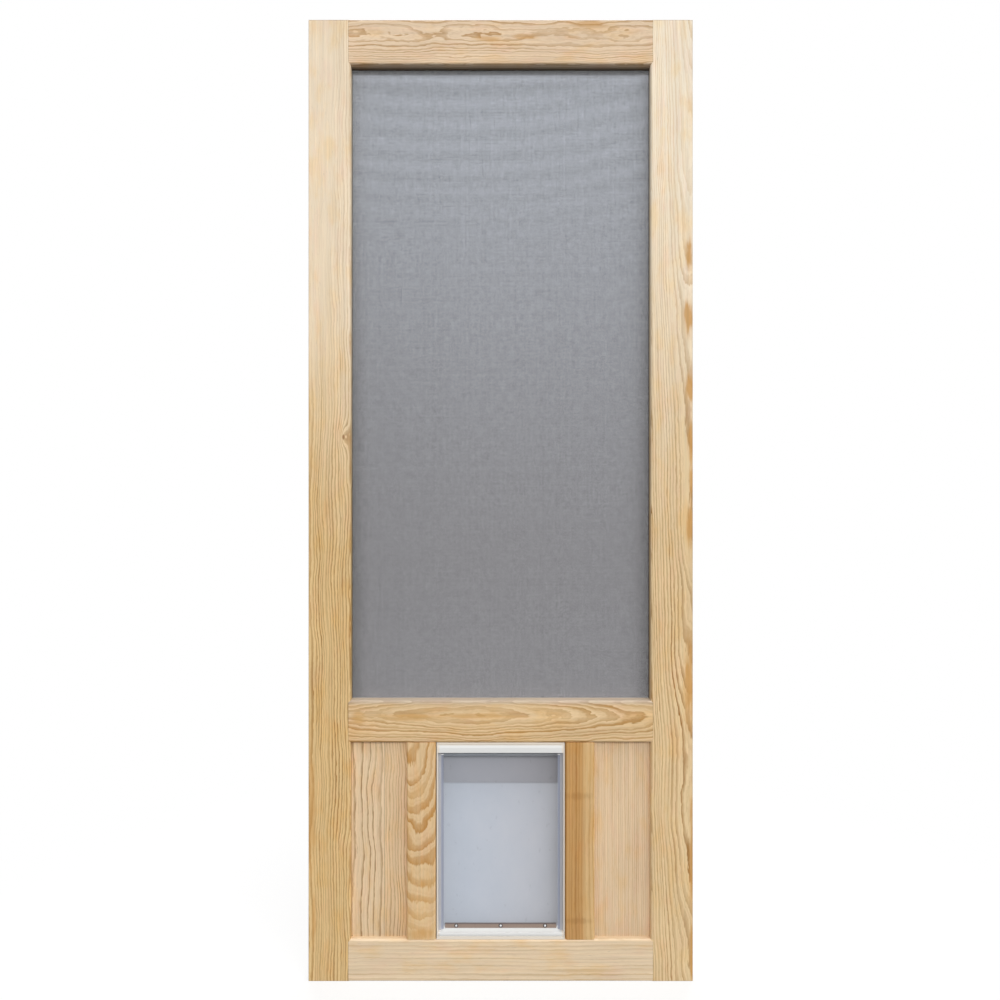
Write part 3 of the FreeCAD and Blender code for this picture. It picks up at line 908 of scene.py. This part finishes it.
def magnet_material():
    """Brown magnet-filled strip with a dark line along its upper edge."""
    shader, place, _ = plastic("magnet_strip", MAGNET_ROUGHNESS, MAGNET_SKIN)
    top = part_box("flap_magnet_strip")[1].z
    edge = shader.ease(place["Z"], top - 2 * MAGNET_EDGE, top - MAGNET_EDGE)
    speckle = shader.field(place, SPECKLE_RATES, FINE_DETAIL)
    brown = shader.shade(linear(*MAGNET_BROWN), shader.scaled(speckle, SPECKLE_TONE, 1.0))
    shader.set(Base_Color=shader.mix(edge, brown, linear(*MAGNET_LINE)))
    return shader.owner


def steel_material(name, colour):
    """Drawn steel with fine lines along its length."""
    shader = new_material(name)
    drawn = shader.field(shader.place(), DRAWN_RATES)
    shader.set(Base_Color=shader.shade(linear(*colour), shader.scaled(drawn, DRAWN_TONE, 1.0)))
    shader.set(Metallic=1.0, Roughness=shader.scaled(drawn, *STEEL_ROUGHNESS))
    return shader.owner


def rubber_material():
    """Black ribbed spline."""
    shader = new_material("spline_rubber")
    place = shader.place()
    along = shader.math("ADD", place["X"], place["Z"])
    soft = shader.field(place, SPLINE_RATES)
    shader.set(Base_Color=shader.shade(linear(*SPLINE_BLACK), shader.scaled(soft, SPLINE_TONE, 1.0)))
    shader.set(Roughness=SPLINE_ROUGHNESS)
    shader.bump(shader.math("SINE", shader.scaled(along, SPLINE_RIB_RATE)), *SPLINE_BUMP)
    return shader.owner


def paint(node, material):
    """Give a CAD node its material."""
    slots = NODES[node].data.materials
    slots.clear()
    slots.append(material)


def mesh_piece(name, vertices, faces, material, body):
    """A new piece that rides on a body."""
    mesh = bpy.data.meshes.new(name)
    mesh.from_pydata([tuple(map(float, v)) for v in vertices], [], faces)
    mesh.validate()
    mesh.update()
    mesh.materials.append(material)
    piece = bpy.data.objects.new(name, mesh)
    bpy.context.scene.collection.objects.link(piece)
    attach(piece, body)
    return piece


def strand(start, end, across):
    """Vertices and faces of one straight strand: a flattened bar with round sides."""
    turn = 2 * math.pi * np.arange(WIRE_SIDES) / WIRE_SIDES
    ring = np.outer(np.cos(turn), across) * WIRE_WIDTH / 2
    ring[:, 1] += np.sin(turn) * WIRE_THICKNESS / 2
    vertices = np.vstack([ring + start, ring + end])
    following = [(i + 1) % WIRE_SIDES for i in range(WIRE_SIDES)]
    sides = [(i, j, j + WIRE_SIDES, i + WIRE_SIDES) for i, j in enumerate(following)]
    caps = [tuple(range(WIRE_SIDES))[::-1], tuple(range(WIRE_SIDES, 2 * WIRE_SIDES))]
    return vertices, sides + caps


def screen_wires(material):
    """The woven screen, as strands both ways that lie on each other."""
    low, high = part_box("insect_screen")
    y = (low.y + high.y) / 2
    front = y - WEAVE_OFFSET
    back = y + WEAVE_OFFSET
    runs = []
    for x in np.arange(low.x + WIRE_PITCH / 2, high.x, WIRE_PITCH):
        runs.append(((x, front, low.z), (x, front, high.z), (1, 0, 0)))
    for z in np.arange(low.z + WIRE_PITCH / 2, high.z, WIRE_PITCH):
        runs.append(((low.x, back, z), (high.x, back, z), (0, 0, 1)))
    vertices = []
    faces = []
    for run in runs:
        new_vertices, new_faces = strand(*map(np.array, run))
        first = len(vertices)
        faces += [tuple(first + i for i in face) for face in new_faces]
        vertices.extend(new_vertices)
    piece = mesh_piece("screen_strands", vertices, faces, material, "door")
    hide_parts("insect_screen")


def turned(profile, centre, facing):
    """Vertices and faces of a form turned about an axis along Y, from radius and height pairs."""
    x, y, z = centre
    angles = 2 * math.pi * np.arange(ROUND_STEPS) / ROUND_STEPS
    vertices = []
    for radius, height in profile:
        for angle in angles:
            over = radius * math.cos(angle)
            up = radius * math.sin(angle)
            vertices.append((x + over, y + facing * height, z + up))
    faces = []
    for level in range(len(profile) - 1):
        low = level * ROUND_STEPS
        high = low + ROUND_STEPS
        for i in range(ROUND_STEPS):
            j = (i + 1) % ROUND_STEPS
            faces.append((low + i, low + j, high + j, high + i))
    last = (len(profile) - 1) * ROUND_STEPS
    faces.append(tuple(range(last, last + ROUND_STEPS)))
    faces.append(tuple(range(ROUND_STEPS))[::-1])
    return vertices, faces


def dome_profile():
    """A rivet's domed head, from its rim inwards."""
    turns = np.linspace(0, DOME_TURN, DOME_STEPS)
    return [(RIVET_RADIUS * math.cos(t), WASHER_HEIGHT + RIVET_HEIGHT * math.sin(t)) for t in turns]


def washer_profile():
    """A flat washer with a softened rim, from its rim inwards."""
    radius_share, height_share = WASHER_RIM
    return [
        (WASHER_RADIUS, 0.0),
        (WASHER_RADIUS, height_share * WASHER_HEIGHT),
        (radius_share * WASHER_RADIUS, WASHER_HEIGHT),
        (RIVET_RADIUS / 2, WASHER_HEIGHT),
    ]


def flap_rivets(steel, dark_steel):
    """Three rivets through the magnet strip, each with a head and washer in front and behind."""
    strip_low, strip_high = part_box("flap_magnet_strip")
    sheet_low, sheet_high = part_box("flap_sheet")
    sheet_front = strip_high.y
    sheet_back = -sheet_front
    middle_x = (sheet_low.x + sheet_high.x) / 2
    z = (strip_low.z + strip_high.z) / 2
    forms = (("rivet", dome_profile(), steel), ("washer", washer_profile(), dark_steel))
    for count, x in enumerate((middle_x - RIVET_SPREAD, middle_x, middle_x + RIVET_SPREAD), 1):
        for side, y, facing in (("front", strip_low.y, -1), ("back", sheet_back, 1)):
            for form, profile, material in forms:
                vertices, faces = turned(profile, (x, y, z), facing)
                name = f"flap_{form}_{count}_{side}"
                piece = mesh_piece(name, vertices, faces, material, "flap")
                for polygon in piece.data.polygons:
                    polygon.use_smooth = len(polygon.vertices) == 4


def side_seals(material):
    """A soft fin on each jamb's rib, reaching nearly to the flap's edge."""
    flap_low, flap_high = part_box("flap_sheet")
    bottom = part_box("pet_frame_sill")[1].z + SEAL_END_GAP
    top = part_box("pet_frame_head")[0].z - SEAL_END_GAP
    ends = {
        "left": (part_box("pet_frame_left_jamb")[1].x, flap_low.x - SEAL_GAP),
        "right": (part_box("pet_frame_right_jamb")[0].x, flap_high.x + SEAL_GAP),
    }
    half_root = SEAL_ROOT / 2
    half_tip = SEAL_TIP / 2
    caps = [(0, 3, 2, 1), (4, 5, 6, 7)]
    sides = [(i, j, j + 4, i + 4) for i, j in enumerate((1, 2, 3, 0))]
    for side, (root, tip) in ends.items():
        outline = [(root, -half_root), (tip, -half_tip), (tip, half_tip), (root, half_root)]
        if side == "right":
            outline.reverse()
        vertices = [(x, y, z) for z in (bottom, top) for x, y in outline]
        mesh_piece(f"flap_seal_{side}", vertices, caps + sides, material, "door")


def dress():
    """Materials for every CAD node, and the pieces that the CAD model leaves out."""
    for node, board in boards().items():
        paint(node, pine(f"pine_{node}", board))
    white = extrusion_material()
    for part in ("head", "sill"):
        paint(f"pet_frame_{part}", white)
    for side in ("left", "right"):
        paint(f"pet_frame_{side}_jamb", jamb_material(side))
    rubber = rubber_material()
    for side in ("left", "right", "bottom", "top"):
        paint(f"{side}_spline", rubber)
    steel = steel_material("bright_steel", BRIGHT_STEEL)
    paint("flap_hinge_rod", steel)
    sheet = vinyl_material("flap_vinyl", SHEET_COOL, SHEET_GREY, SHEET_ROUGHNESS, SHEET_PAINTED_SHADES)
    paint("flap_sheet", sheet)
    band = vinyl_material("band_vinyl", BAND_COOL, BAND_GREY, BAND_ROUGHNESS, BAND_PAINTED_SHADES)
    paint("flap_top_band", band)
    paint("flap_magnet_strip", magnet_material())
    screen_wires(screen_material())
    flap_rivets(steel, steel_material("dark_steel", DARK_STEEL))
    side_seals(seal_material())


def make_floor():
    """A pale floor that keeps the door's shadow and fades to white away from it."""
    shader = new_material("floor")
    white = shader.add("ShaderNodeEmission", {"Color": PLAIN_WHITE, "Strength": 1.0}).outputs[0]
    pale, dull = [
        shader.add("ShaderNodeBsdfDiffuse", {"Color": (level, level, level, 1)}).outputs[0]
        for level in (FLOOR_PALE, FLOOR_DULL)
    ]
    x, y, _ = shader.place()
    sideways = shader.math("SUBTRACT", x, (CAD_BOX[0].x + CAD_BOX[1].x) / 2)
    squares = shader.math("ADD", shader.square(sideways), shader.square(y))
    distance = shader.math("SQRT", squares)
    share = shader.ease(distance, *FLOOR_FADE, FLOOR_SHADOW_SHARE, 0.0)
    shown = shader.add("ShaderNodeMixShader", {0: share, 1: white, 2: pale}).outputs[0]
    final = shader.add("ShaderNodeMixShader", {0: shader.seen(), 1: dull, 2: shown}).outputs[0]
    shader.feed(shader.nodes["Material Output"].inputs["Surface"], final)
    half = FLOOR_SPAN / 2
    mesh = bpy.data.meshes.new("floor")
    corners = [(-half, -half, 0), (half, -half, 0), (half, FLOOR_BACK, 0), (-half, FLOOR_BACK, 0)]
    mesh.from_pydata(corners, [], [(0, 1, 2, 3)])
    mesh.materials.append(shader.owner)
    floor = bpy.data.objects.new("floor", mesh)
    floor.location.z = CAD_BOX[0].z - FLOOR_DROP
    bpy.context.scene.collection.objects.link(floor)


def make_light():
    """Even light from all round, white to the camera, a bank of lamps in front and two behind."""
    shader = Shader(bpy.data.worlds.new("studio"))
    background = shader.nodes["Background"]
    shader.feed(background.inputs["Color"], PLAIN_WHITE)
    shader.feed(background.inputs["Strength"], shader.scaled(shader.seen(), 1 - FILL_LEVEL, FILL_LEVEL))
    bpy.context.scene.world = shader.owner

    for azimuth, elevation, strength in LAMPS:
        sun = bpy.data.lights.new("lamp", "SUN")
        sun.energy = strength
        sun.angle = math.radians(LAMP_SOFTNESS)
        lamp = bpy.data.objects.new("lamp", sun)
        lamp.rotation_euler = (math.radians(90 - elevation), 0, math.radians(azimuth))
        bpy.context.scene.collection.objects.link(lamp)


def make_camera():
    """A camera straight in front of the door, framed as in the photograph."""
    low, high = CAD_BOX
    middle = (low + high) / 2
    pixel = (high.z - low.z) / (DOOR_FOOT_PIXEL - DOOR_TOP_PIXEL)
    data = bpy.data.cameras.new("camera")
    data.sensor_width = SENSOR_WIDTH
    data.lens = SENSOR_WIDTH * CAMERA_DISTANCE / (pixel * IMAGE_SIZE)
    camera = bpy.data.objects.new("camera", data)
    right, down = [(place - IMAGE_SIZE / 2) * pixel for place in DOOR_MIDDLE_PIXEL]
    camera.location = (middle.x - right, low.y - CAMERA_DISTANCE, middle.z + down)
    camera.rotation_euler = (math.pi / 2, 0, 0)
    bpy.context.scene.collection.objects.link(camera)
    bpy.context.scene.camera = camera


dress()
make_floor()
make_light()
make_camera()
bpy.context.scene.view_settings.view_transform = "Standard"
